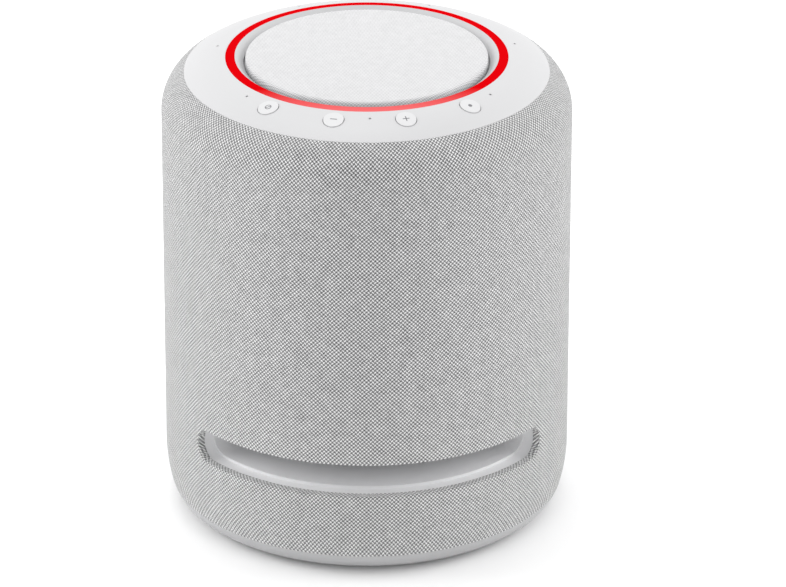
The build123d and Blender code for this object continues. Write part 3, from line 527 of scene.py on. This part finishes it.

# ------------------------------------------------------------------ light ring and bezel
# A milky red ring sits flush in the crown and glows red. A painted highlight turns its colour and glow
# a little pinker towards the front, nearest the viewer, and the bezel inside it slopes down to the
# grille.
ring_glow = Finish("ring_glow", (0.9, 0.02, 0.03), 0.35, specular_ior_level=0.0)
x, y, z = ring_glow.place()
# Painted highlight: the colour and the glow blend to pink towards the front (negative y).
front_highlight = ring_glow.node("MapRange", sockets={0: 0 - y, 1: 0.036, 2: 0.058, 3: 0.0, 4: 1.0})
milk = ring_glow.noise(0.006)
shade = ring_glow.mix(front_highlight, (0.45, 0.0005, 0.002), (0.54, 0.098, 0.102))
shade = ring_glow.mix(milk * 0.04, shade, (0.50, 0.02, 0.03))
ring_glow.set("Base Color", shade)
ring_glow.set("Emission Color", shade)
ring_glow.set("Emission Strength", 0.36)
ring_glow.cover("light_diffuser")
bezel_white = moulded("bezel_white", (0.50, 0.50, 0.507), 0.40)
bezel_white.cover("inner_bezel")

# ------------------------------------------------------------------ cap and buttons
# The crown is one white moulding pierced by four round push buttons and seven
# microphone holes. Each button carries a plain printed sign.
cap_white = moulded("cap_white", (0.54, 0.54, 0.547), 0.40, grain=0.0005, depth=0.000010)
cap_white.cover("top_cap")
button_white = moulded("button_white", (0.60, 0.60, 0.607), 0.38)
sign_grey = moulded("sign_grey", (0.17, 0.17, 0.18), 0.55)
crown_arc, crown_centre = 0.04587, (0.053727, 0.159418)
sign_lift, sign_depth = 0.00003, 0.00012


def crown_place(name, across, inward):
    """Point on a button's top, from its middle across and towards the axis."""
    low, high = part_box(name)
    middle = (low + high) / 2
    radius = hypot(middle.x, middle.y)
    outward = Vector((middle.x, middle.y, 0)) / radius
    sideways = Vector((-outward.y, outward.x, 0))
    spot = outward * (radius - inward) + sideways * across
    away = hypot(spot.x, spot.y) - crown_centre[0]
    spot.z = crown_centre[1] + sqrt((crown_arc + 0.0003) ** 2 - away**2) + sign_lift
    return spot


def sign(name, button, outlines):
    """Raised print on a button: closed outlines of (across, inward) points, in metres."""
    points, faces = [], []
    for outline in outlines:
        first = len(points)
        top = [crown_place(button, a, i) for a, i in outline]
        points += top + [p - Vector((0, 0, sign_depth)) for p in top]
        count = len(outline)
        faces.append([first + k for k in range(count)])
        for k in range(count):
            n = (k + 1) % count
            faces.append([first + k, first + count + k, first + count + n, first + n])
    made = mesh_object(name, points, faces, sign_grey, smooth=False)
    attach(made, button + "_body")


def bar(length, width, turn=0.0):
    """Outline of a round-ended stroke."""
    outline = []
    for side in (1, -1):
        for k in range(9):
            a = (k / 8 - 0.5) * pi + (0 if side > 0 else pi)
            outline.append((side * (length - width) / 2 + width / 2 * cos(a), width / 2 * sin(a)))
    return [(a * cos(turn) - b * sin(turn), a * sin(turn) + b * cos(turn)) for a, b in outline]


def round_band(outer, inner, parts=40):
    """Short four-sided outlines that make up a circle of print."""
    made = []
    for k in range(parts):
        a, b = tau * k / parts, tau * (k + 1) / parts
        made.append(
            [(outer * cos(a), outer * sin(a)), (outer * cos(b), outer * sin(b)),
             (inner * cos(b), inner * sin(b)), (inner * cos(a), inner * sin(a))]
        )
    return made


dot = [(0.00085 * cos(tau * k / 28), 0.00085 * sin(tau * k / 28)) for k in range(28)]
sign("sign_quieter", "volume_down_button", [bar(0.0030, 0.00045)])
sign("sign_louder", "volume_up_button", [bar(0.0030, 0.00045), bar(0.0030, 0.00045, pi / 2)])
sign("sign_action", "action_button", [dot])
sign("sign_mute", "mute_button", round_band(0.0014, 0.00105) + [bar(0.0026, 0.0004, radians(45))])
button_white.cover("mute_button", "volume_down_button", "volume_up_button", "action_button")

# ------------------------------------------------------------------ round grille
# A pierced plate domes up inside the bezel. The same cloth, cut as a disc, is drawn
# over it and down its side, where it stops just above the ledge.
white_plastic.cover("top_grille_plate")
disc_cloth = Finish("disc_cloth", sheen_weight=0.3, sheen_roughness=0.5, specular_ior_level=0.2)
x, y, z = disc_cloth.place()
low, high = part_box("top_grille_fabric")
disc_radius, disc_top = high.x, high.z
rib_u, rib_v = x * (1 / 0.00150), (y + z) * (1 / 0.00150)
# The disc's darker hollows are painted shade and its lighter thread crowns painted highlight.
cloth(
    disc_cloth, rib_u + rib_v + 500, rib_u - rib_v + 500,
    dark=(0.34, 0.34, 0.345), mid=(0.56, 0.56, 0.57), light=(0.72, 0.72, 0.725), depth=0.00022,
)
edge_height, edge_roll = 0.20529, 0.0011
profile = []
for k in range(41):
    r = (disc_radius - edge_roll) * k / 40
    profile.append((r, disc_top - (disc_top - edge_height) * (r / disc_radius) ** 2))
corner_z = profile[-1][1] - edge_roll
for k in range(1, 9):
    a = pi / 2 * (1 - k / 8)
    profile.append((disc_radius - edge_roll + edge_roll * cos(a), corner_z + edge_roll * sin(a)))
for k in range(1, 9):
    profile.append((disc_radius, corner_z + (low.z - corner_z) * k / 8))
turns = 240
points = [Vector((0, 0, profile[0][1]))]
for r, z_now in profile[1:]:
    points += [Vector((r * sin(tau * k / turns), -r * cos(tau * k / turns), z_now)) for k in range(turns)]
faces = [[0, 1 + k, 1 + (k + 1) % turns] for k in range(turns)]
for ring in range(len(profile) - 2):
    a, b = 1 + ring * turns, 1 + (ring + 1) * turns
    for k in range(turns):
        n = (k + 1) % turns
        faces.append([a + k, b + k, b + n, a + n])
disc = mesh_object("grille_disc", points, faces, disc_cloth)
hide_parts("top_grille_fabric")
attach(disc, "housing")
